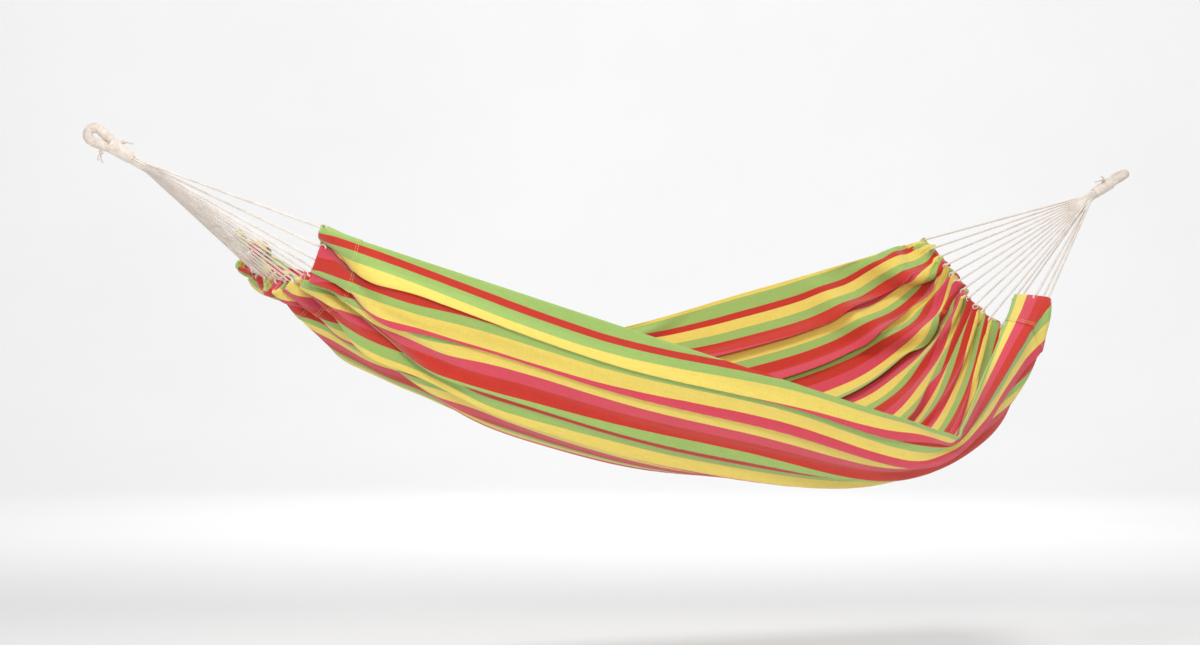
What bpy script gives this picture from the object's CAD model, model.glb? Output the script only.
"""Looks of the striped cloth hammock: a draped and gathered cotton bed, two harnesses of
twisted cords, and two served rope eyes. Metres, in the CAD model's frame.
"""
import math

import bpy
import numpy as np
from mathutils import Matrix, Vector


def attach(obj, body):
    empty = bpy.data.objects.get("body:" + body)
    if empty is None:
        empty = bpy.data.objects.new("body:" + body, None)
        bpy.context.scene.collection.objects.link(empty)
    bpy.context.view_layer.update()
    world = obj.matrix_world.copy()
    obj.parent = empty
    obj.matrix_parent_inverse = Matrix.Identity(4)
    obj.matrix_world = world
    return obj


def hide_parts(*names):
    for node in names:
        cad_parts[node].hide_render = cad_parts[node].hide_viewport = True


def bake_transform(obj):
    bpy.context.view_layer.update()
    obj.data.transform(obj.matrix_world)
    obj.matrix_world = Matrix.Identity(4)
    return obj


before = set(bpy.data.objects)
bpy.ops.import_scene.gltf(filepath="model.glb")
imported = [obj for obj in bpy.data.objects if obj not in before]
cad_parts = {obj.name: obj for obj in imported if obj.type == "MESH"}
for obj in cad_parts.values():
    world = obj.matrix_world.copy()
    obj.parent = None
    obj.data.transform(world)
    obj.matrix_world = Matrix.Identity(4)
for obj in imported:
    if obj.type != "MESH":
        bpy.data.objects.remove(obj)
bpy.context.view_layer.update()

SCENE = bpy.context.scene

# ---- sizes shared with part.py
HOOK_SPAN = 2.580
SHAFT_DROP = math.radians(31.0)
SERVING_RADIUS = 0.0105
HOLE_RADIUS = 0.0045
LEG_END = 0.046
LEG_GAP = 0.0071
WHIP_START = 0.038
WHIP_RADIUS = 0.0168
WHIP_END_RADIUS = 0.0136
NECK_REACH = 0.096
FAN_REACH = 0.074
CORD_COUNT = 18
CORD_RADIUS = 0.0025
HEM_CORD_RADIUS = 0.003
CLOTH_LENGTH = 1.990
CLOTH_WIDTH = 1.400
HEM_DEPTH = 0.085
BELLY_POWER = 2.4

LEFT_HEM = np.array([
    (0.413, -0.309, -0.207),
    (0.420, -0.258, -0.272),
    (0.420, -0.107, -0.298),
    (0.412, 0.090, -0.297),
    (0.398, 0.257, -0.266),
    (0.386, 0.349, -0.183),
])
RIGHT_HEM = np.array([
    (2.126, -0.212, -0.322),
    (2.165, -0.290, -0.330),
    (2.146, -0.214, -0.404),
    (2.123, -0.106, -0.372),
    (2.137, 0.010, -0.322),
    (2.159, 0.128, -0.255),
    (2.170, 0.219, -0.200),
    (2.173, 0.284, -0.157),
])
HEMS = {"left": LEFT_HEM, "right": RIGHT_HEM}
TIE_SHARES = np.arange(CORD_COUNT) / (CORD_COUNT - 1)
# Share of the length, then the section's near edge, lowest line and far edge.
BED_SECTIONS = [
    (0.25, (0.886, -0.353, -0.354), (0.825, -0.055, -0.560), (0.807, 0.430, -0.397)),
    (0.50, (1.360, -0.398, -0.500), (1.300, -0.075, -0.750), (1.265, 0.450, -0.410)),
    (0.75, (1.833, -0.442, -0.647), (1.770, -0.085, -0.748), (1.735, 0.375, -0.288)),
]

# The near border lies folded over to the inside, further beyond this share of the length.
FOLD_START = 0.31
FOLD_RUN = 0.28
FOLD_SHARE = 0.035
SELVEDGE_SHARE = 0.008
CORNER_SHARE = 0.014  # further in towards the left corner
# At the right hem's near end the cloth is left ungathered where it is turned out and back:
# these shares of the cloth take up these shares of the hem line.
BAND_CLOTH = (0, 0.068, 0.148, 1)
BAND_HEM = (0, 0.115, 0.257, 1)
BAND_TURN = 0.765  # the band is held flat from here to the right hem
BAND_FOOT = np.array([1.875, -0.367, -0.676])
BAND_BULGE = 0.006
BAND_FADE = (0.80, 0.20)  # the ungathering begins here and runs over this share of the length

# Long folds of the draped cloth: the side whose lip lies on top, then at five places along
# the length where the fold is, in metres across the flat cloth, and its depth in millimetres.
FOLD_PLACES = (0.0, 0.2, 0.5, 0.8, 1.0)
LONG_FOLDS = [
    ("near", (0.104, 0.107, 0.118, 0.134, 0.138), (0, 30, 27, 0, 0)),
    ("near", (0.226, 0.230, 0.238, 0.232, 0.230), (0, 32, 22, 12, 0)),
    ("near", (0.370, 0.390, 0.398, 0.375, 0.365), (0, 32, 20, 20, 0)),
    ("near", (0.505, 0.520, 0.530, 0.520, 0.510), (0, 30, 13, 18, 0)),
    ("far", (0.740, 0.750, 0.760, 0.740, 0.730), (0, 30, 11, 18, 0)),
    ("far", (0.930, 0.940, 0.960, 0.985, 0.990), (0, 28, 13, 24, 0)),
    ("far", (1.080, 1.090, 1.115, 1.135, 1.140), (0, 26, 12, 24, 0)),
    ("far", (1.240, 1.245, 1.250, 1.262, 1.265), (0, 18, 8, 16, 0)),
]
LAP_LIFT = 0.0085  # how far one layer of a full fold lies above the next
LAP_RUN = 0.034  # the lip rises to that over this width
LAP_GATHER = 0.115  # the cloth that a fold takes up comes from this width of the drape
LAP_SOFT = 0.0032  # rounding of the fold's two turns
LAP_FALL = 0.004  # the lip drops again over its fold's depth and this
FULL_DEPTH = 0.012  # a fold of this depth or more has its full lift
MOST_DEPTH = 33  # millimetres; a deeper fold would turn the gathering over
DIP_SHARE = 0.6  # hollow beside a lip, as a share of the lip's height
DIP_REACH = 0.022

# The pull on the cloth. Its direction was fitted so that the drape gets its outline: it leans
# 31 degrees towards the right end, where a real cloth is pulled straight down.
SAG = np.array([0.52, 0, -0.85])
# Rows, columns, steps and strength of the pull, for each grid in turn.
DRAPE_LEVELS = [(41, 69, 1500, 3.0), (81, 137, 900, 1.2), (161, 273, 400, 0.5)]
TIME_STEP = 0.002
SPEED_KEPT = 0.995  # at each step
TOP_SPEED = 2.0
PLEAT_DEPTH = 0.022  # at the hems, fading over PLEAT_RUN to PLEAT_REST
PLEAT_RUN = 0.12
PLEAT_REST = 0.003
IRON_WIDTH = 0.035  # cross wrinkles shorter than this are smoothed out
IRON_END = 0.10  # but not within this share of the length from a hem
RIDGE_TURN = 0.751  # nor where the near ridge turns up
CLOTH_THICKNESS = 0.0012
HEM_FOLD = 0.0036  # half the room between the hem's two layers at its fold
HEM_GAP = 0.0018  # between the layers at the seam
SEAM_INSETS = (0.004, 0.009)
STITCH_PITCH = 0.0046
STITCH_LENGTH = 0.0034

CORD_PHASE = 1.9  # each cord's twist starts this much further round
NECK_RINGS = (0.0045, 0.0086)  # the bundled cords lie in two rings in the neck's mouth
KNOT_CORD = {"radius": 0.0016, "lay": 0.008}


# ---- curves
def smooth(knots, points, at):
    """Cubic curve through points given at rising knots, read at many values."""
    knots = np.asarray(knots, float)
    points = np.asarray(points, float)
    at = np.atleast_1d(at).astype(float)
    last = len(knots) - 1
    k = np.clip(np.searchsorted(knots, at, side="right") - 1, 0, last - 1)
    low = np.maximum(np.arange(last + 1) - 1, 0)
    high = np.minimum(np.arange(last + 1) + 1, last)
    wide = (1,) * (points.ndim - 1)
    slope = (points[high] - points[low]) / (knots[high] - knots[low]).reshape(-1, *wide)
    span = (knots[k + 1] - knots[k]).reshape(-1, *wide)
    t = (at - knots[k]).reshape(-1, *wide) / span
    return (
        (2 * t**3 - 3 * t**2 + 1) * points[k]
        + (t**3 - 2 * t**2 + t) * span * slope[k]
        + (3 * t**2 - 2 * t**3) * points[k + 1]
        + (t**3 - t**2) * span * slope[k + 1]
    )


def read_line(line, knots, at):
    """Points on a line whose own points lie at the knots."""
    return np.stack([np.interp(at, knots, line[:, axis]) for axis in range(3)], -1)


def ease(t):
    """Smooth step from 0 to 1."""
    t = np.clip(t, 0, 1)
    return t * t * (3 - 2 * t)


def unit(v):
    """Vectors scaled to length one."""
    return v / np.maximum(np.linalg.norm(v, axis=-1, keepdims=True), 1e-12)


def arc_lengths(points):
    """Distance along a line of points, starting at 0."""
    return np.r_[0, np.cumsum(np.linalg.norm(np.diff(points, axis=0), axis=1))]


def hem_line(hem, share):
    """Points on a hem line, 0 at its near corner and 1 at its far corner."""
    knots = arc_lengths(hem)
    return smooth(knots / knots[-1], hem, share)


def bed_section(near, belly, far, share):
    """Points on one section of the bed."""
    side = 2 * share - 1
    across = smooth([-1, 0, 1], [near, belly, far], side)
    edge_height = np.where(side < 0, near[2], far[2])
    across[:, 2] = belly[2] + (edge_height - belly[2]) * np.abs(side) ** BELLY_POWER
    return across


def bed_point(along, share):
    """The CAD's cloth: rows along its length by columns from its near edge."""
    rows = [hem_line(LEFT_HEM, share)]
    rows += [bed_section(*section[1:], share) for section in BED_SECTIONS]
    rows += [hem_line(RIGHT_HEM, share)]
    return smooth([0] + [section[0] for section in BED_SECTIONS] + [1], np.array(rows), along)


# ---- meshes
def new_object(name, points, faces, flat=None):
    """Mesh object from vertex rows and arrays of quads or triangles, shaded smooth."""
    mesh = bpy.data.meshes.new(name)
    faces = [np.asarray(group) for group in faces if len(group)]
    corners = np.concatenate([group.ravel() for group in faces]).astype(np.int32)
    sizes = np.concatenate([np.full(len(group), group.shape[1]) for group in faces])
    mesh.vertices.add(len(points))
    mesh.vertices.foreach_set("co", np.asarray(points, np.float32).ravel())
    mesh.loops.add(len(corners))
    mesh.loops.foreach_set("vertex_index", corners)
    mesh.polygons.add(len(sizes))
    starts = np.r_[0, np.cumsum(sizes)[:-1]].astype(np.int32)
    mesh.polygons.foreach_set("loop_start", starts)
    mesh.polygons.foreach_set("loop_total", sizes.astype(np.int32))
    mesh.polygons.foreach_set("use_smooth", np.ones(len(sizes), bool))
    if flat is not None:
        layer = mesh.uv_layers.new(name="flat")
        layer.data.foreach_set("uv", np.asarray(flat, np.float32)[corners].ravel())
    mesh.update(calc_edges=True)
    mesh.validate()
    obj = bpy.data.objects.new(name, mesh)
    SCENE.collection.objects.link(obj)
    return obj


def grid_quads(rows, columns, first=0, closed=False):
    """Quads between a grid's points; closed joins its last column to its first."""
    i = np.arange(rows - 1)[:, None]
    j = np.arange(columns if closed else columns - 1)[None, :]
    k = (j + 1) % columns
    quads = np.stack([i * columns + j, i * columns + k, (i + 1) * columns + k,
                      (i + 1) * columns + j], -1)
    return quads.reshape(-1, 4) + first


class Shape:
    """Points and faces of one mesh, gathered piece by piece."""

    def __init__(self):
        self.points = []
        self.quads = []
        self.triangles = []
        self.flat = []
        self.count = 0

    def add_grid(self, grid, closed=False, flip=False, flat=None):
        rows, columns = grid.shape[:2]
        quads = grid_quads(rows, columns, self.count, closed)
        self.quads.append(quads[:, ::-1] if flip else quads)
        self.points.append(grid.reshape(-1, 3))
        if flat is not None:
            self.flat.append(flat.reshape(-1, 2))
        self.count += rows * columns

    def add_tube(self, rings):
        """Closed tube from rings of points, with a fan over each end."""
        rows, columns = rings.shape[:2]
        first = self.count
        self.add_grid(rings, closed=True)
        self.points.append(np.array([rings[0].mean(0), rings[-1].mean(0)]))
        start, end = self.count, self.count + 1
        self.count += 2
        j = np.arange(columns)
        k = (j + 1) % columns
        last = first + (rows - 1) * columns
        self.triangles.append(np.stack([np.full(columns, start), first + k, first + j], -1))
        self.triangles.append(np.stack([np.full(columns, end), last + j, last + k], -1))

    def build(self, name):
        flat = np.concatenate(self.flat) if self.flat else None
        faces = self.quads + self.triangles
        return new_object(name, np.concatenate(self.points), faces, flat)


def carried_frames(path, start_side=None):
    """Unit tangents and two sideways axes along a path, carried on without twist."""
    tangent = unit(np.gradient(path, axis=0))
    if start_side is None:
        start_side = np.eye(3)[np.argmin(np.abs(tangent[0]))]
    side = np.empty_like(path)
    current = np.asarray(start_side, float)
    for i, along in enumerate(tangent):
        current = unit(current - along * (current @ along))
        side[i] = current
    return tangent, side, np.cross(tangent, side)


def tube_rings(path, radius, turn=0.0, start_side=None):
    """Rings of points round a path. radius is one ring's row or a row for each point."""
    _, side, other = carried_frames(path, start_side)
    radius = np.atleast_2d(radius) * np.ones((len(path), 1))
    angle = np.linspace(0, 2 * np.pi, radius.shape[1], endpoint=False)[None, :]
    angle = angle + np.broadcast_to(np.asarray(turn, float), len(path))[:, None]
    across = (np.cos(angle)[..., None] * side[:, None]
              + np.sin(angle)[..., None] * other[:, None])
    return path[:, None] + radius[..., None] * across


def even_path(path, step):
    """The same line with its points evenly spaced."""
    knots = arc_lengths(path)
    at = np.linspace(0, knots[-1], max(int(round(knots[-1] / step)), 3) + 1)
    return read_line(path, knots, at)


def laid_cord(shape, path, radius, lay=0.021, strands=3, phase=0.0, taper=0.0):
    """Twisted cord of round strands along a path, added to a shape."""
    points_each = 4
    path = even_path(np.asarray(path, float), lay / 11)
    angle = np.linspace(0, 2 * np.pi, strands * points_each, endpoint=False)
    lobes = 1 - 0.15 * (1 - np.abs(np.cos(strands * angle / 2)))
    travel = arc_lengths(path)
    thin = 1 - taper * ease((travel / travel[-1] - 0.75) / 0.25)
    turn = phase + 2 * np.pi * travel / lay
    shape.add_tube(tube_rings(path, radius * 1.04 * lobes[None, :] * thin[:, None], turn))


def bend_line(points, step=0.002):
    """Smooth line of points through a few control points, read from a NURBS curve."""
    curve = bpy.data.curves.new("route", "CURVE")
    curve.dimensions = "3D"
    curve.resolution_u = 12
    spline = curve.splines.new("NURBS")
    spline.points.add(len(points) - 1)
    for point, place in zip(spline.points, points):
        point.co = (*place, 1.0)
    spline.order_u = 3
    spline.use_endpoint_u = True
    holder = bpy.data.objects.new("route", curve)
    mesh = bpy.data.meshes.new_from_object(holder)
    line = np.array([vertex.co[:] for vertex in mesh.vertices])
    bpy.data.objects.remove(holder)
    bpy.data.curves.remove(curve)
    bpy.data.meshes.remove(mesh)
    return even_path(line, step)


# ---- materials
class Paint:
    """A node material, with short ways to add and join its nodes."""

    def __init__(self, name, roughness, sheen):
        self.material = bpy.data.materials.new(name)
        self.material.use_nodes = True
        self.tree = self.material.node_tree
        self.shader = self.tree.nodes["Principled BSDF"]
        for key, value in (("Roughness", roughness), ("Sheen Weight", sheen),
                           ("Sheen Roughness", 0.5), ("Specular IOR Level", 0.25)):
            self.shader.inputs[key].default_value = value

    def node(self, kind, settings=None, **inputs):
        """Add a node. Inputs are given by name, or as i and a number by place."""
        made = self.tree.nodes.new(kind)
        for key, value in (settings or {}).items():
            setattr(made, key, value)
        for key, value in inputs.items():
            socket = made.inputs[int(key[1:])] if key[0] == "i" and key[1:].isdigit() \
                else made.inputs[key.replace("_", " ")]
            if isinstance(value, bpy.types.NodeSocket):
                self.tree.links.new(value, socket)
            else:
                socket.default_value = value
        return made

    def maths(self, operation, *values):
        keys = {f"i{k}": value for k, value in enumerate(values)}
        return self.node("ShaderNodeMath", {"operation": operation}, **keys).outputs[0]

    def noise(self, vector, scale, detail=3.0, roughness=0.6):
        made = self.node("ShaderNodeTexNoise", None, Vector=vector, Scale=scale,
                         Detail=detail, Roughness=roughness)
        return made.outputs["Fac"]

    def ramp(self, value, stops, constant=False):
        made = self.node("ShaderNodeValToRGB", None, Fac=value)
        ramp = made.color_ramp
        ramp.interpolation = "CONSTANT" if constant else "LINEAR"
        while len(ramp.elements) < len(stops):
            ramp.elements.new(1.0)
        for element, (place, colour) in zip(ramp.elements, stops):
            element.position = place
            element.color = (*colour, 1.0)
        return made.outputs["Color"]

    def shade(self, colour, factor):
        """Colour times a grey factor."""
        made = self.node("ShaderNodeVectorMath", {"operation": "SCALE"},
                         i0=colour, Scale=factor)
        return made.outputs[0]

    def scaled(self, vector, scale):
        made = self.node("ShaderNodeMapping", None, Vector=vector)
        made.inputs["Scale"].default_value = scale
        return made.outputs[0]

    def finish(self, colour, height=None, strength=0.5, distance=0.001):
        self.tree.links.new(colour, self.shader.inputs["Base Color"])
        if height is not None:
            bump = self.node("ShaderNodeBump", None, Height=height, Strength=strength,
                             Distance=distance)
            self.tree.links.new(bump.outputs["Normal"], self.shader.inputs["Normal"])
        return self.material


def srgb(red, green, blue):
    """Linear colour from the usual 0 to 255 display values."""
    return tuple(((c / 255 + 0.055) / 1.055) ** 2.4 if c > 10 else c / 255 / 12.92
                 for c in (red, green, blue))


GREEN = srgb(160, 190, 104)
YELLOW = srgb(236, 212, 104)
PINK = srgb(214, 72, 90)
RED = srgb(200, 52, 38)
BORDER = 0.054  # yellow, green and red beside each selvedge
STRIPES = [(0.0205, GREEN), (0.028, YELLOW), (0.027, PINK), (0.0284, RED)]
EDGE_STRIPES = [(0.008, YELLOW), (0.030, GREEN), (0.016, RED)]
UV_SPAN = 2.0  # metres of flat cloth in one unit of its UV map
THREAD_PITCH = 0.0011


def stripe_stops(stripes, total):
    """Where each stripe starts, as a share of the total, and its colour."""
    place = 0.0
    stops = []
    for width, colour in stripes:
        stops.append((place / total, colour))
        place += width
    return stops


def cloth_paint(name, thread_strength):
    """Woven cotton with lengthwise stripes, from the cloth's own flat measures."""
    paint = Paint(name, roughness=0.88, sheen=0.25)
    flat = paint.node("ShaderNodeUVMap", {"uv_map": "flat"}).outputs["UV"]
    metres = paint.scaled(flat, (UV_SPAN, UV_SPAN, 1.0))
    parts = paint.node("ShaderNodeSeparateXYZ", None, Vector=metres)
    across, along = parts.outputs["X"], parts.outputs["Y"]
    waver = paint.noise(paint.scaled(metres, (14.0, 3.0, 1.0)), 1.0)
    waver = paint.maths("MULTIPLY", paint.maths("SUBTRACT", waver, 0.5), 0.004)
    across_true = paint.maths("ADD", across, waver)

    period = sum(width for width, _ in STRIPES)
    inner = paint.maths("SUBTRACT", across_true, BORDER)
    share = paint.maths("FRACT", paint.maths("DIVIDE", inner, period))
    main = paint.ramp(share, stripe_stops(STRIPES, period), constant=True)
    from_edge = paint.maths("MINIMUM", across_true,
                            paint.maths("SUBTRACT", CLOTH_WIDTH, across_true))
    edge_share = paint.maths("DIVIDE", from_edge, BORDER)
    edge = paint.ramp(edge_share, stripe_stops(EDGE_STRIPES, BORDER), constant=True)
    in_edge = paint.maths("LESS_THAN", from_edge, BORDER)
    stripes = paint.node("ShaderNodeMix", {"data_type": "RGBA"}, Factor=in_edge,
                         i6=main, i7=edge)

    # Uneven yarns: streaks along the warp, shorter ones along the weft, and soft blotches.
    warp = paint.noise(paint.scaled(metres, (900.0, 30.0, 1.0)), 1.0)
    weft = paint.noise(paint.scaled(metres, (60.0, 700.0, 1.0)), 1.0)
    blotch = paint.noise(paint.scaled(metres, (6.0, 4.0, 1.0)), 1.0)
    tone = 0.64
    for uneven, weight in ((warp, 0.36), (weft, 0.30), (blotch, 0.14)):
        tone = paint.maths("MULTIPLY_ADD", uneven, weight, tone)
    tone = paint.maths("SUBTRACT", tone, 0.06)
    colour = paint.shade(stripes.outputs[2], tone)

    thread = 1 / THREAD_PITCH
    warp_wave = paint.maths("SINE", paint.maths("MULTIPLY", across, 2 * math.pi * thread))
    weft_wave = paint.maths("SINE", paint.maths("MULTIPLY", along, 2 * math.pi * thread))
    weave = paint.maths("MULTIPLY", warp_wave, weft_wave)
    height = paint.maths("MULTIPLY_ADD", warp, 1.5, weave)
    return paint.finish(colour, height, thread_strength, distance=0.0004)


def cotton_paint(name, light, dark, grain, bump):
    """Natural cotton yarn: warm off-white with fine fibres and darker hollows."""
    paint = Paint(name, roughness=0.85, sheen=0.3)
    place = paint.node("ShaderNodeTexCoord").outputs["Object"]
    fine = paint.noise(place, grain, 5.0, 0.7)
    broad = paint.noise(place, grain / 14, 2.0, 0.5)
    mixed = paint.maths("MULTIPLY_ADD", broad, 0.6, paint.maths("MULTIPLY", fine, 0.5))
    colour = paint.ramp(mixed, [(0.30, dark), (0.66, light)])
    return paint.finish(colour, fine, bump, distance=0.0005)


def stage_paint():
    """Pale seamless floor with a faint tone variation."""
    paint = Paint("pale_floor", roughness=0.95, sheen=0.0)
    place = paint.node("ShaderNodeTexCoord").outputs["Object"]
    tone = paint.noise(place, 0.4)
    greys = [(0.3, (0.90, 0.90, 0.90)), (0.7, (0.93, 0.93, 0.93))]
    return paint.finish(paint.ramp(tone, greys))


STRIPED = cloth_paint("striped_cotton", 0.5)
HEMMED = cloth_paint("striped_cotton_hem", 0.6)
CORD = cotton_paint("cord_cotton", srgb(228, 219, 210), srgb(200, 187, 175), 500.0, 0.15)
SERVED = cotton_paint("served_cotton", srgb(220, 209, 199), srgb(184, 168, 154), 900.0, 0.5)
WHIPPED = cotton_paint("whipping_cotton", srgb(222, 212, 202), srgb(192, 177, 164), 1100.0, 0.4)
TWINE = cotton_paint("knot_cotton", srgb(218, 207, 196), srgb(184, 168, 152), 1000.0, 0.4)
THREAD = cotton_paint("seam_thread", srgb(238, 214, 132), srgb(196, 160, 84), 1500.0, 0.3)


def place(shape, name, material, body, slot, *nodes):
    """Build a piece with its material and slot, on its body, in place of CAD nodes."""
    obj = shape.build(name)
    obj.data.materials.append(material)
    if body:
        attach(obj, body)
    if nodes:
        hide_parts(*nodes)
    return obj


# ---- eyes
class Eye:
    """One rope eye: local x runs down the shaft, y across the loop, z through its hole."""

    def __init__(self, side):
        self.side = side
        down = (math.cos(SHAFT_DROP), 0, -math.sin(SHAFT_DROP))
        if side == "left":
            self.origin = np.zeros(3)
            self.x = np.array(down)
            self.z = np.array([0, 1.0, 0])
        else:
            # Turned a quarter round its shaft.
            self.origin = np.array([HOOK_SPAN, 0, 0])
            self.x = np.array([-down[0], 0, down[2]])
            self.z = np.array([down[2], 0, -down[0]]) * (1, 1, -1)
        self.y = np.cross(self.z, self.x)
        self.body = f"{side}_eye"

    def world(self, points):
        """Points of the eye's own frame, in the model's frame."""
        points = np.asarray(points, float)
        return (self.origin + points[..., :1] * self.x + points[..., 1:2] * self.y
                + points[..., 2:] * self.z)

    @property
    def pivot(self):
        """Middle of the neck's mouth, where the cords flex."""
        return self.world([NECK_REACH, 0, 0])


def loop_path(step=0.0004):
    """Centreline of the eye's rope: up one leg, round the hook and down the other leg."""
    loop_radius = HOLE_RADIUS + SERVING_RADIUS
    leg_run = LEG_END - HOLE_RADIUS
    reach = math.hypot(leg_run, LEG_GAP)
    lean = math.atan2(leg_run, LEG_GAP) - math.acos(loop_radius / reach)
    angle = np.linspace(math.pi / 2 - lean, 1.5 * math.pi + lean, 80)
    arc = np.stack([HOLE_RADIUS + loop_radius * np.cos(angle), loop_radius * np.sin(angle),
                    0 * angle], -1)
    ends = np.array([[LEG_END, LEG_GAP, 0]]), np.array([[LEG_END, -LEG_GAP, 0]])
    return even_path(np.concatenate([ends[0], arc, ends[1]]), step)


def eye_serving(eye):
    """Twine wound close round the eye's rope, each turn a rounded ridge."""
    pitch = 0.0034
    ridge = 0.0014
    drawn_in = 0.012  # the serving narrows over this length at both ends
    sides = 36
    path = loop_path()
    travel = arc_lengths(path)
    angle = np.linspace(0, 2 * np.pi, sides, endpoint=False)
    wind = travel[:, None] / pitch - angle[None, :] / (2 * np.pi)
    round_ridge = np.sqrt(1 - (2 * (wind % 1) - 1) ** 2 * 0.96)
    to_end = np.minimum(travel, travel[-1] - travel)[:, None]
    squeeze = 0.0024 * (1 - ease(to_end / drawn_in))
    uneven = 0.00025 * np.sin(wind * 2.4 + 1.3) + 0.0002 * np.sin(wind * 0.9)
    radius = SERVING_RADIUS - ridge * (1 - round_ridge) - squeeze + uneven * (to_end > drawn_in)
    shape = Shape()
    shape.add_tube(tube_rings(eye.world(path), radius, 0.0, eye.z))
    place(shape, f"{eye.side}_serving_twine", SERVED, eye.body, "served_twine",
          f"{eye.side}_eye_serving", f"{eye.side}_eye_rope")


def neck_whipping(eye):
    """Smooth thread wound round the neck in a taper, with a seam ring where it starts."""
    pitch = 0.0012
    sides = 64
    turned_in = 8  # rings that turn in to the bundled cords at the mouth
    x = np.arange(WHIP_START, NECK_REACH - 0.0019, pitch / 8)
    share = (x - WHIP_START) / (NECK_REACH - WHIP_START)
    angle = np.linspace(0, 2 * np.pi, sides, endpoint=False)
    profile = WHIP_RADIUS + (WHIP_END_RADIUS - WHIP_RADIUS) * ease(share * 1.05)
    wind = x[:, None] / pitch - angle[None, :] / (2 * np.pi)
    thread = 0.00028 * (np.sqrt(1 - (2 * (wind % 1) - 1) ** 2 * 0.95) - 1)
    rounded = 0.004 * (1 - np.sqrt(1 - (1 - np.clip((x - WHIP_START) / 0.004, 0, 1)) ** 2))
    lip = 0.0012 * ease((x - NECK_REACH + 0.007) / 0.005)
    groove = 0.0014 * np.exp(-(((x - WHIP_START - 0.0065) / 0.0009) ** 2))
    # The two legs inside keep it slightly wider one way.
    oval = 0.0007 * (np.cos(2 * angle)[None, :] - 1) * (1 - share[:, None])
    radius = (profile - rounded - lip - groove)[:, None] + thread + oval
    centre = eye.world(np.stack([x, 0 * x, 0 * x], -1))
    rings = tube_rings(centre, radius, 0.0, eye.y)
    mouth_radius = np.linspace(WHIP_END_RADIUS - 0.002, 0.0095, turned_in)
    mouth_turn = np.sin(np.linspace(0, 1, turned_in) * math.pi / 2) ** 2
    mouth_x = NECK_REACH - 0.002 - 0.006 * mouth_turn
    mouth_radius = np.repeat(mouth_radius[:, None], sides, 1)
    mouth = tube_rings(centre[-turned_in:], mouth_radius, 0.0, eye.y)
    mouth += ((mouth_x - x[-turned_in:])[:, None] * eye.x)[:, None]
    shape = Shape()
    shape.add_tube(np.concatenate([rings, mouth]))
    place(shape, f"{eye.side}_neck_wrap", WHIPPED, eye.body, "whipping_twine",
          f"{eye.side}_neck_whipping")


def twine_knot(eye, name, centre, tails, wraps, seed):
    """Overhand knot of twine: crossed turns, and tails that fray at their ends."""
    rng = np.random.default_rng(seed)
    shape = Shape()
    centre = np.asarray(centre, float)
    around = np.linspace(0, 2 * np.pi, 40)
    for tilt, size, shift in wraps:
        ring = np.stack([size * np.cos(around), size * 0.8 * np.sin(around) * math.cos(tilt),
                         size * 0.8 * np.sin(around) * math.sin(tilt)], -1)
        laid_cord(shape, eye.world(centre + shift + ring), phase=tilt, **KNOT_CORD)
    for tail in tails:
        points = [centre] + [np.asarray(point, float) for point in tail]
        line = bend_line([eye.world(point) for point in points], 0.001)
        laid_cord(shape, line, taper=0.25, **KNOT_CORD)
        heading = unit(line[-1] - line[-4])
        for _ in range(12):
            spread = rng.normal(0, 0.35, 3)
            length = rng.uniform(0.004, 0.009)
            bend = rng.normal(0, 0.0012, 3)
            start = line[-1] - heading * 0.0015 + rng.normal(0, 0.0005, 3)
            end = start + unit(heading + spread) * length
            fibre = bend_line([start, (start + end) / 2 + bend, end], 0.001)
            thin = np.linspace(0.00032, 0.00012, len(fibre))[:, None] * np.ones((1, 5))
            shape.add_tube(tube_rings(fibre, thin))
    place(shape, name + "_twine", TWINE, eye.body, "tie_twine", name)


# ---- harnesses
def harness_cord(eye, number, tie):
    """One taut twisted cord from the fan to its loop on the hem."""
    name = f"{eye.side}_cord_{number:02d}"
    heading = unit(tie - eye.pivot)
    start = eye.pivot + heading * FAN_REACH
    shape = Shape()
    laid_cord(shape, [start, tie], CORD_RADIUS, phase=number * CORD_PHASE)
    obj = place(shape, name + "_laid", CORD, "hammock", "harness_cord", name)


def neck_places(count):
    """Places for the cords in the neck's mouth: one in the middle and rings about it."""
    spots = [(0.0, 0.0)]
    for ring, number in zip(NECK_RINGS, (6, count - 7)):
        for k in range(number):
            angle = 2 * math.pi * (k + 0.5 * (ring > NECK_RINGS[0])) / number
            spots.append((ring * math.cos(angle), ring * math.sin(angle)))
    return np.array(spots)


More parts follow.
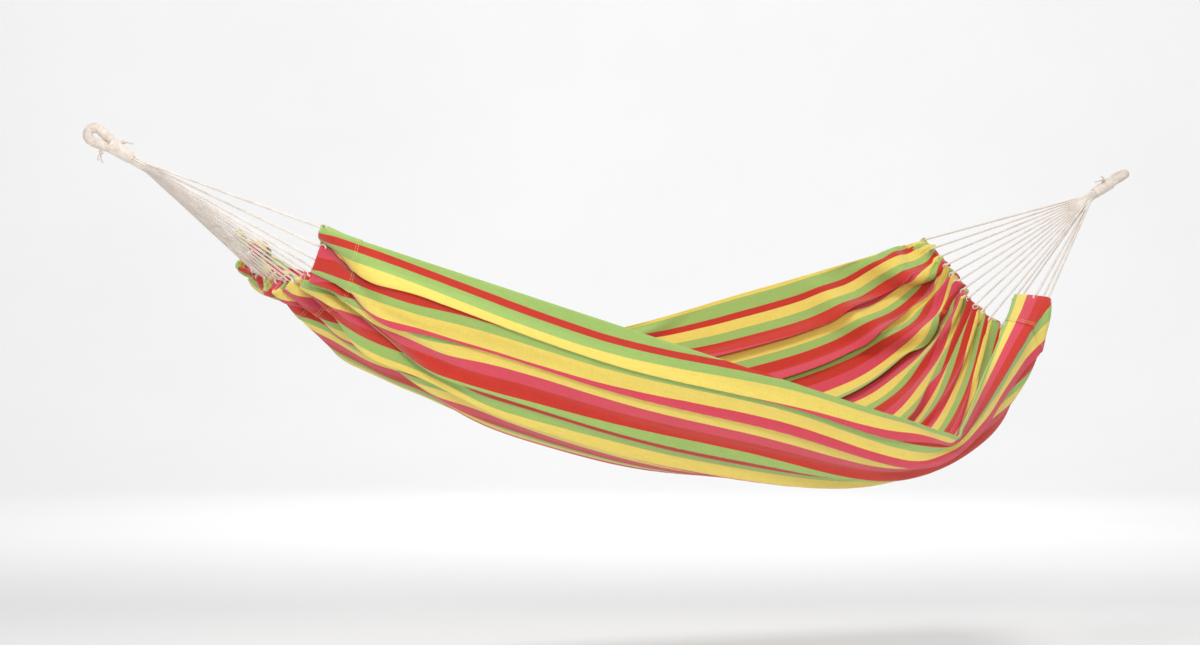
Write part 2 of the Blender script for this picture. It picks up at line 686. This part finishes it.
def cord_fan(eye, ties):
    """The same cords where they leave the neck packed together and spread out."""
    headings = unit(ties - eye.pivot)
    middle = unit(headings.sum(0))
    wide = unit(np.array([0, 1.0, 0]) - middle * middle[1])
    high = np.cross(middle, wide)
    ends = eye.pivot + headings * FAN_REACH
    spread = np.stack([(ends - eye.pivot) @ wide, (ends - eye.pivot) @ high], -1)
    spots = neck_places(len(ties))
    # Each cord takes the free place that lies nearest to its own direction.
    offset = spread - spread.mean(0)
    order = np.argsort(-np.linalg.norm(offset, axis=1))
    free = list(range(len(spots)))
    scale = NECK_RINGS[1] / np.abs(offset).max(0)
    chosen = {}
    for k in order:
        wish = offset[k] * scale
        best = min(free, key=lambda spot: float(np.linalg.norm(spots[spot] - wish)))
        free.remove(best)
        chosen[k] = spots[best]
    shape = Shape()
    for k in range(len(ties)):
        spot = wide * chosen[k][0] + high * chosen[k][1]
        mouth = eye.pivot + spot
        line = bend_line([mouth - eye.x * 0.010, mouth - eye.x * 0.004, mouth + middle * 0.010,
                          mouth * 0.5 + (eye.pivot + headings[k] * 0.04) * 0.5 + middle * 0.012,
                          ends[k] - headings[k] * 0.022, ends[k] + headings[k] * 0.002], 0.001)
        laid_cord(shape, line, CORD_RADIUS, phase=(k + 1) * CORD_PHASE)
    obj = place(shape, f"{eye.side}_fan_cords", CORD, None, "harness_cord",
                f"{eye.side}_cord_fan")
    start = eye.pivot - eye.x * 0.004
    end = eye.pivot + middle * 0.045
    if eye.side == "left":
        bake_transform(obj)
    else:
        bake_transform(obj)


# ---- draped cloth
def fold_share(along):
    """Share of the width that is folded in along the near edge."""
    corner = CORNER_SHARE * (1 - ease(along / FOLD_START))
    return SELVEDGE_SHARE + corner + FOLD_SHARE * ease((along - FOLD_START) / FOLD_RUN)


def hem_share(along, share):
    """Where a share of the cloth's width lies on the hem line: at the right, with its band."""
    banded = np.interp(share, BAND_CLOTH, BAND_HEM)
    right = ease((along - BAND_FADE[0]) / BAND_FADE[1])
    return share + right * (banded - share)


class Drape:
    """Position-based cloth on a grid: rows along the length, columns across the width."""

    shear = 0.25
    bend = 0.04

    def __init__(self, points, flat):
        self.points = np.ascontiguousarray(points)
        self.speed = np.zeros_like(points)
        self.free = np.ones(points.shape[:2] + (1,))
        rows, columns = points.shape[:2]
        self.links = []
        self.link_lines(1, flat, 1.0)
        for p in (0, 1):
            upper, lower = slice(p, rows - 1, 2), slice(p + 1, rows, 2)
            left, right = slice(0, columns - 1), slice(1, columns)
            self.link((upper, left), (lower, right), flat, self.shear)
            self.link((upper, right), (lower, left), flat, self.shear)
        self.link_lines(2, flat, self.bend)

    def link_lines(self, gap, flat, stiffness):
        """Tie all points that lie this many rows, or this many columns, apart."""
        every = slice(None)
        for p in range(2 * gap):
            (a, b), (c, d) = ((slice(p, size - gap, 2 * gap), slice(p + gap, size, 2 * gap))
                              for size in flat.shape[:2])
            self.link((a, every), (b, every), flat, stiffness)
            self.link((every, c), (every, d), flat, stiffness)

    def link(self, a, b, flat, stiffness):
        """Tie two sets of points at their distance on the flat cloth."""
        rest = np.linalg.norm(flat[b] - flat[a], axis=-1, keepdims=True)
        if rest.size:
            self.links.append((a, b, rest, stiffness))

    def hold(self, rows, columns, places):
        self.free[rows, columns] = 0
        self.points[rows, columns] = places

    def step(self, pull):
        """Move the cloth on by one time step."""
        self.speed += SAG * pull * TIME_STEP
        self.speed *= SPEED_KEPT
        before = self.points.copy()
        self.points += self.speed * TIME_STEP * (self.free > 0)
        for a, b, rest, stiffness in self.links:
            gap = self.points[b] - self.points[a]
            length = np.sqrt(np.einsum("ijk,ijk->ij", gap, gap))[..., None] + 1e-12
            give = self.free[a] + self.free[b] + 1e-9
            gap *= stiffness * (length - rest) / (length * give)
            self.points[a] += self.free[a] * gap
            self.points[b] -= self.free[b] * gap
        self.speed = (self.points - before) / TIME_STEP * (self.free > 0)
        fast = np.linalg.norm(self.speed, axis=-1, keepdims=True)
        self.speed *= np.minimum(1, TOP_SPEED / (fast + 1e-9))


def resample(grid, count):
    """More rows on a smooth curve through the grid's own rows."""
    at = np.linspace(0, len(grid) - 1, count)
    return smooth(np.arange(len(grid)), grid, at)


def resample_both(grid, rows, columns):
    grid = resample(grid, rows).transpose(1, 0, 2)
    return resample(grid, columns).transpose(1, 0, 2)


def near_edge(along):
    """The near ridge, straight down to its low point and straight up, and its length."""
    low = np.array(BED_SECTIONS[2][1])
    run = np.linalg.norm(low - LEFT_HEM[0])
    rise = np.linalg.norm(RIGHT_HEM[0] - low)
    turn = run / (run + rise)
    knots = np.array([0, turn, 1])
    line = np.array([LEFT_HEM[0], low, RIGHT_HEM[0]])
    return read_line(line, knots, along), run + rise


def far_edge(along):
    """The far edge: one sagging line from corner to corner."""
    line = np.array([LEFT_HEM[-1]] + [section[3] for section in BED_SECTIONS] + [RIGHT_HEM[-1]])
    return hem_line(line, along)


def fold_tables(along):
    """Each long fold's place and depth at every row, in metres."""
    places = [smooth(FOLD_PLACES, fold[1], along) for fold in LONG_FOLDS]
    depths = [np.clip(smooth(FOLD_PLACES, fold[2], along), 0, MOST_DEPTH) / 1000
              for fold in LONG_FOLDS]
    return np.array(places), np.array(depths)


def gathered(across, along):
    """Width of cloth from the near edge to each flat place, less what the folds take up."""
    places, depths = fold_tables(along)
    taken = [2 * depth * ease((across - place) / LAP_GATHER + 0.5)
             for place, depth in zip(places[..., None], depths[..., None])]
    return across - sum(taken)


def pleated_start(along, on_hem, sizes, rng):
    """The CAD's cloth with its pleats fading in from both hems, and slightly uneven."""
    pleats = CORD_COUNT - 1
    share = np.linspace(0, 1, 400)
    plain = bed_point(along, share)
    grid = np.stack([read_line(row, share, at) for row, at in zip(plain, on_hem)])
    pleat = np.minimum((on_hem * pleats).astype(int), pleats - 1)
    wave = 0.5 * (1 - np.cos(2 * np.pi * on_hem * pleats))
    left, right = (PLEAT_DEPTH * np.exp(-from_hem[:, None] / PLEAT_RUN) + PLEAT_REST
                   for from_hem in (along, 1 - along))
    wave = wave * (sizes[0][pleat] * left + sizes[1][pleat] * right)
    grid = grid + sheet_normals(grid) * wave[..., None]
    return grid + rng.normal(0, 0.002, grid.shape)


def hold_band(cloth, along, near):
    """Hold the band at the right hem flat between the ridge and a straight line below it."""
    lower = int(round(BAND_CLOTH[1] * (cloth.points.shape[1] - 1)))
    rising = np.flatnonzero(along > BAND_TURN)
    climb = ((along[rising] - BAND_TURN) / (1 - BAND_TURN))[:, None, None]
    foot = BAND_FOOT + (RIGHT_HEM[1] - BAND_FOOT) * climb
    step = np.linspace(0, 1, lower + 1)[None, :, None]
    band = near[rising][:, None] * (1 - step) + foot * step
    outwards = unit(np.cross(RIGHT_HEM[0] - near[rising[0]], BAND_FOOT - near[rising[0]]))
    band += outwards * BAND_BULGE * np.sin(np.pi * step)
    cloth.hold(rising[:, None], np.arange(lower + 1)[None, :], band)


def drape_cloth():
    """The cloth beyond its near ridge, draped and pleated, as a grid of points."""
    rng = np.random.default_rng(3)
    pleats = CORD_COUNT - 1
    left_size = rng.choice([-1, 1], pleats) * rng.uniform(0.6, 1.3, pleats)
    right_size = rng.choice([-1, 1], pleats) * rng.uniform(0.6, 1.3, pleats)
    # The right hem's band stays flat, and the pleats behind it turn inwards.
    right_size[:2] = 0.05
    right_size[2:6] = np.abs(right_size[2:6])
    grid = None
    for rows, columns, steps, pull in DRAPE_LEVELS:
        along = np.linspace(0, 1, rows)
        share = np.linspace(0, 1, columns)
        near, near_length = near_edge(along)
        far = far_edge(along)
        if grid is None:
            on_hem = np.clip(hem_share(along[:, None], share[None, :]), 0, 1)
            grid = pleated_start(along, on_hem, (left_size, right_size), rng)
        else:
            grid = resample_both(grid, rows, columns)
        fold = fold_share(along)[:, None]
        # Where an edge is held shorter than the cloth, the rows beside it give way too.
        far_length = arc_lengths(far)[-1]
        easing = ((1 - near_length / CLOTH_LENGTH) * np.exp(-share / 0.06)
                  + (1 - far_length / CLOTH_LENGTH) * np.exp(-(1 - share) / 0.10))
        across = CLOTH_WIDTH * (fold + share[None, :] * (1 - fold))
        flat = np.stack([
            CLOTH_LENGTH * along[:, None] * (1 - easing[None, :]),
            gathered(across, along),
        ], -1)
        cloth = Drape(grid, flat)
        left = np.round(TIE_SHARES * (columns - 1)).astype(int)
        right = np.interp(TIE_SHARES, BAND_HEM, BAND_CLOTH) * (columns - 1)
        cloth.hold(0, left, hem_line(LEFT_HEM, TIE_SHARES))
        cloth.hold(-1, np.round(right).astype(int), hem_line(RIGHT_HEM, TIE_SHARES))
        cloth.hold(slice(1, -1), 0, near[1:-1])
        cloth.hold(slice(1, -1), -1, far[1:-1])
        hold_band(cloth, along, near)
        for _ in range(steps):
            cloth.step(pull)
        grid = cloth.points
    return grid


def iron_along(grid):
    """Smooth out short cross wrinkles, keeping lengthwise folds and the gathered ends."""
    rows = len(grid)
    along = np.linspace(0, 1, rows)
    width = max(IRON_WIDTH * (rows - 1) / CLOTH_LENGTH, 0.5)
    reach = int(3 * width)
    weights = np.exp(-0.5 * (np.arange(-reach, reach + 1) / width) ** 2)
    weights /= weights.sum()
    straight = grid[0] + (grid[-1] - grid[0]) * along[:, None, None]
    bent = grid - straight
    padded = np.concatenate([-bent[reach:0:-1], bent, -bent[-2:-reach - 2:-1]])
    ironed = sum(w * padded[k:k + rows] for k, w in enumerate(weights))
    amount = ease(along / IRON_END) * ease((1 - along) / IRON_END)
    turn = np.exp(-(((along - RIDGE_TURN) / 0.02) ** 2))
    columns = np.linspace(0, 1, grid.shape[1])
    keep_turn = turn[:, None] * np.exp(-columns / 0.05)[None, :]
    amount = (amount[:, None] * (1 - keep_turn))[..., None]
    return grid + amount * (straight + ironed - grid)


def read_rows(grid, at):
    """Each row of a grid read at its own fractional column positions."""
    at = np.clip(at, 0, grid.shape[1] - 1.001)
    low = at.astype(int)
    part = (at - low)[..., None]
    row = np.arange(len(grid))[:, None]
    return grid[row, low] * (1 - part) + grid[row, low + 1] * part


def lapped(flat_across, along):
    """Where each flat place lies once the long folds are laid, and how far it stands out."""
    places, depths = fold_tables(along)
    laid = flat_across.copy()
    lift = np.zeros_like(laid)
    for (side, _, _), place, depth in zip(LONG_FOLDS, places[..., None], depths[..., None]):
        x = flat_across - place
        # A smoothed box of slope -1 where the cloth runs back under itself.
        back = 0.5 * (LAP_SOFT * np.log(np.cosh((x + depth / 2) / LAP_SOFT))
                      - LAP_SOFT * np.log(np.cosh((x - depth / 2) / LAP_SOFT)) + depth)
        laid -= 2 * back
        lean = x if side == "near" else -x
        height = 2 * LAP_LIFT * np.minimum(1, depth / FULL_DEPTH)
        rise = ease((lean + depth / 2 + LAP_RUN) / LAP_RUN)
        passed = ease((lean + depth / 2) / (depth + LAP_FALL))
        dip = passed * np.exp(-np.maximum(lean, 0) / DIP_REACH)
        shape = height * (rise * (1 - passed) - DIP_SHARE * dip)
        lift += -shape if side == "near" else shape
    return laid, lift


def add_border(grid, rows, columns, border_columns=12):
    """Folded-in near border and draped part with its long folds laid, and their UV places."""
    grid = resample(grid, rows)
    along = np.linspace(0, 1, rows)
    fold = fold_share(along)[:, None] * CLOTH_WIDTH
    normal = sheet_normals(grid)
    across = fold + np.linspace(0, 1, columns)[None, :] * (CLOTH_WIDTH - fold)
    laid, lift = lapped(across, along)
    drape_share = np.linspace(0, 1, grid.shape[1])[None, :]
    drape_across = gathered(fold + drape_share * (CLOTH_WIDTH - fold), along)
    steps = np.arange(grid.shape[1])
    at = np.stack([np.interp(row, known, steps) for row, known in zip(laid, drape_across)])
    whole = read_rows(grid, at) + read_rows(normal, at) * lift[..., None]

    back = np.linspace(1, 0, border_columns, endpoint=False)[None, :]
    at = back * fold / (CLOTH_WIDTH - fold) * (grid.shape[1] - 1)
    raised = 0.0022 + 0.0075 * np.sqrt(back) * np.minimum(1, fold / FOLD_SHARE / CLOTH_WIDTH)
    border = read_rows(grid, at) + read_rows(normal, at) * raised[..., None]
    whole = np.concatenate([border, whole], 1)
    across = np.concatenate([fold * (1 - back), across], 1)
    lengthwise = np.broadcast_to(along[:, None] * CLOTH_LENGTH, across.shape)
    return whole, np.stack([across, lengthwise], -1) / UV_SPAN


def sheet_normals(grid):
    return unit(np.cross(np.gradient(grid, axis=0), np.gradient(grid, axis=1)))


def cloth_sheet(shape, grid, flat, thickness=CLOTH_THICKNESS):
    """Both faces of a cloth and its edges."""
    normal = sheet_normals(grid)
    upper = grid + normal * thickness / 2
    lower = grid - normal * thickness / 2
    shape.add_grid(upper, flat=flat)
    shape.add_grid(lower, flip=True, flat=flat)
    for line, turned in ((np.s_[0], True), (np.s_[-1], False)):
        shape.add_grid(np.stack([lower[line], upper[line]]), flip=turned,
                       flat=np.stack([flat[line], flat[line]]))
        shape.add_grid(np.stack([lower[:, line], upper[:, line]]), flip=not turned,
                       flat=np.stack([flat[:, line], flat[:, line]]))


def hem_end(grid, end):
    """The cloth from the left or the right hem inwards, and its outward normals."""
    if end == "left":
        return grid, -sheet_normals(grid)
    return grid[::-1], -sheet_normals(grid)[::-1]


def hem_sleeve(grid, flat, end):
    """The cloth's end turned over the hem cord and back along its outside, to the seam."""
    rows = int(round(HEM_DEPTH / CLOTH_LENGTH * (len(grid) - 1)))
    grid, outside = hem_end(grid, end)
    flat = flat if end == "left" else flat[::-1]
    over = unit(grid[0] - grid[2])
    rings = []
    turns = 8
    for angle in np.linspace(0.12, 1, turns) * math.pi:
        rings.append(grid[0] + over * HEM_FOLD * math.sin(angle)
                     + outside[0] * HEM_FOLD * (1 - math.cos(angle)))
    for k in range(1, rows + 1):
        gap = HEM_GAP + (2 * HEM_FOLD - HEM_GAP) * (1 - ease(k / rows * 1.5))
        rings.append(grid[k] + outside[k] * gap)
    mirrored = np.concatenate([np.repeat(flat[:1], turns, 0), flat[1:rows + 1]])
    return np.stack(rings), mirrored


def hem_rope(grid, end):
    """Cord inside the hem's fold, from one side of the cloth to the other."""
    grid, outside = hem_end(grid, end)
    line = grid[0] + outside[0] * HEM_FOLD
    shape = Shape()
    laid_cord(shape, line[4:-4], HEM_CORD_RADIUS * 0.86)
    return place(shape, f"{end}_hem_rope", CORD, "hammock", "harness_cord", f"{end}_hem_cord")


def tie_columns(grid, end):
    """The grid's column at each harness cord."""
    edge = grid[0] if end == "left" else grid[-1]
    ties = hem_line(HEMS[end], TIE_SHARES)
    return [int(np.argmin(np.linalg.norm(edge - tie, axis=1))) for tie in ties]


def hem_loops(grid, eye):
    """Two turns of each harness cord round the hem where it is tied."""
    columns = tie_columns(grid, eye.side)
    grid, outside = hem_end(grid, eye.side)
    shape = Shape()
    around = np.linspace(0, 2 * np.pi, 30)[:, None]
    for column in columns:
        out = outside[0, column]
        centre = grid[0, column] + out * HEM_FOLD
        to_eye = unit(eye.pivot - centre)
        out = unit(out - to_eye * (out @ to_eye))
        sideways = np.cross(to_eye, out)
        for shift in (-0.0011, 0.0011):
            ring = (centre - to_eye * 0.002 + sideways * shift
                    + np.cos(around) * to_eye * 0.0060 + np.sin(around) * out * 0.0054)
            laid_cord(shape, ring, 0.0011, lay=0.009)
    return place(shape, f"{eye.side}_hem_loops", CORD, "hammock", "harness_cord")


def hem_stitches(grid, end):
    """Two rows of lock stitches that hold the hem's turned edge down."""
    rows = HEM_DEPTH / CLOTH_LENGTH * (len(grid) - 1)
    grid, outside = hem_end(grid, end)
    shape = Shape()
    for inset in SEAM_INSETS:
        at = rows - inset / CLOTH_LENGTH * (len(grid) - 1)
        low, part = int(at), at - int(at)
        line = grid[low] * (1 - part) + grid[low + 1] * part
        out = outside[low]
        line = line + out * 0.0026
        travel = arc_lengths(line)
        for start in np.arange(0.003, travel[-1] - 0.004, STITCH_PITCH):
            ends = np.linspace(start, start + STITCH_LENGTH, 4)
            stitch = read_line(line, travel, ends)
            thin = np.array([0.0002, 0.00045, 0.00045, 0.0002])[:, None] * np.ones((1, 5))
            shape.add_tube(tube_rings(stitch, thin))
    return place(shape, f"{end}_hem_stitches", THREAD, "hammock", "hem_cloth")


# ---- build
eyes = {side: Eye(side) for side in ("left", "right")}
for side, eye in eyes.items():
    ties = hem_line(HEMS[side], TIE_SHARES)
    eye_serving(eye)
    neck_whipping(eye)
    cord_fan(eye, ties)
    for number, tie in enumerate(ties, start=1):
        harness_cord(eye, number, tie)

# Each turn of a knot: its tilt, its size and how far it lies from the knot's middle.
KNOT_WRAPS = [(0.3, 0.0030, np.zeros(3)), (1.5, 0.0028, np.array([0.0012, 0, 0])),
              (2.5, 0.0029, np.array([-0.0010, 0, 0.0004]))]
twine_knot(eyes["left"], "left_serving_tie", (0.034, 0.0245, 0), [
    [(0.031, 0.033, -0.003), (0.036, 0.041, -0.005)],
    [(0.038, 0.033, 0.003), (0.046, 0.039, 0.004)]], KNOT_WRAPS, 11)
twine_knot(eyes["left"], "left_neck_knot", (0.062, -0.0195, -0.001), [
    [(0.069, -0.024, -0.001), (0.076, -0.025, -0.005)]], KNOT_WRAPS, 12)
twine_knot(eyes["right"], "right_neck_tie", (0.057, 0.008, 0.0175), [
    [(0.068, 0.009, 0.023), (0.078, 0.008, 0.024)],
    [(0.057, 0.012, 0.026), (0.063, 0.016, 0.029)]], KNOT_WRAPS, 13)

ROWS, COLUMNS = ((321, 601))
draped = iron_along(drape_cloth())
cloth, cloth_flat = add_border(draped, ROWS, COLUMNS)
bed_shape = Shape()
cloth_sheet(bed_shape, cloth, cloth_flat)
bed = place(bed_shape, "striped_bed", STRIPED, "hammock", "striped_cloth", "bed_cloth")
on_cloth = []
for side, eye in eyes.items():
    sleeve, sleeve_flat = hem_sleeve(cloth, cloth_flat, side)
    shape = Shape()
    cloth_sheet(shape, sleeve, sleeve_flat)
    hem = place(shape, f"{side}_hem_sleeve", HEMMED, "hammock", "hem_cloth", f"{side}_end_hem")
    on_cloth += [hem, hem_rope(cloth, side), hem_loops(cloth, eye), hem_stitches(cloth, side)]

# ---- stage, light and camera
FLOOR_HEIGHT = -1.25
FLAT_RADIUS = 9.0
COVE_RADIUS = 5.0
FLOOR_SIDES = 96
curve = np.linspace(0, math.pi / 2, 17)
reach = np.r_[0.01, 3, 6, FLAT_RADIUS + COVE_RADIUS * np.sin(curve)]
height = np.r_[0, 0, 0, COVE_RADIUS * (1 - np.cos(curve))]
bearing = np.linspace(0, 2 * np.pi, FLOOR_SIDES, endpoint=False)
dish = np.stack([
    HOOK_SPAN / 2 + reach[:, None] * np.cos(bearing),
    reach[:, None] * np.sin(bearing),
    FLOOR_HEIGHT + np.repeat(height[:, None], FLOOR_SIDES, 1),
], -1)
floor_shape = Shape()
floor_shape.add_grid(dish, closed=True)
floor = floor_shape.build("floor")
floor.data.materials.append(stage_paint())


def area_light(name, place_at, aim, size, power):
    """Round soft light: size in metres, power in watts."""
    light = bpy.data.lights.new(name, "AREA")
    light.shape = "DISK"
    light.size = size
    light.energy = power
    obj = bpy.data.objects.new(name, light)
    obj.location = place_at
    obj.rotation_euler = (Vector(aim) - Vector(place_at)).to_track_quat("-Z", "Y").to_euler()
    SCENE.collection.objects.link(obj)


area_light("key", (0.5, -1.7, 3.1), (1.3, 0, -0.4), 1.1, 80)
area_light("front", (-0.4, -3.8, 0.4), (1.3, 0, -0.5), 0.6, 66)
area_light("rim", (3.4, 2.2, 2.2), (1.4, 0, -0.4), 2.0, 16)
area_light("backdrop", (3.0, 3.4, 4.6), (6.4, 13.0, 1.5), 4.0, 360)

world = bpy.data.worlds.new("studio")
world.use_nodes = True
background = world.node_tree.nodes["Background"].inputs
background["Color"].default_value = (1.0, 1.0, 1.0, 1.0)
background["Strength"].default_value = 0.60
SCENE.world = world
SCENE.view_settings.view_transform = "Standard"

VIEW_DIRECTION = (0.375, 0.927)
PITCH = math.radians(1.31)
camera = bpy.data.objects.new("camera", bpy.data.cameras.new("camera"))
camera.data.sensor_width = 36.0
camera.data.lens = 64.74
camera.data.clip_end = 200.0
camera.location = (-0.709, -4.591, -0.500)
aim = Vector((*[c * math.cos(PITCH) for c in VIEW_DIRECTION], math.sin(PITCH)))
camera.rotation_euler = aim.to_track_quat("-Z", "Y").to_euler()
SCENE.collection.objects.link(camera)
SCENE.camera = camera
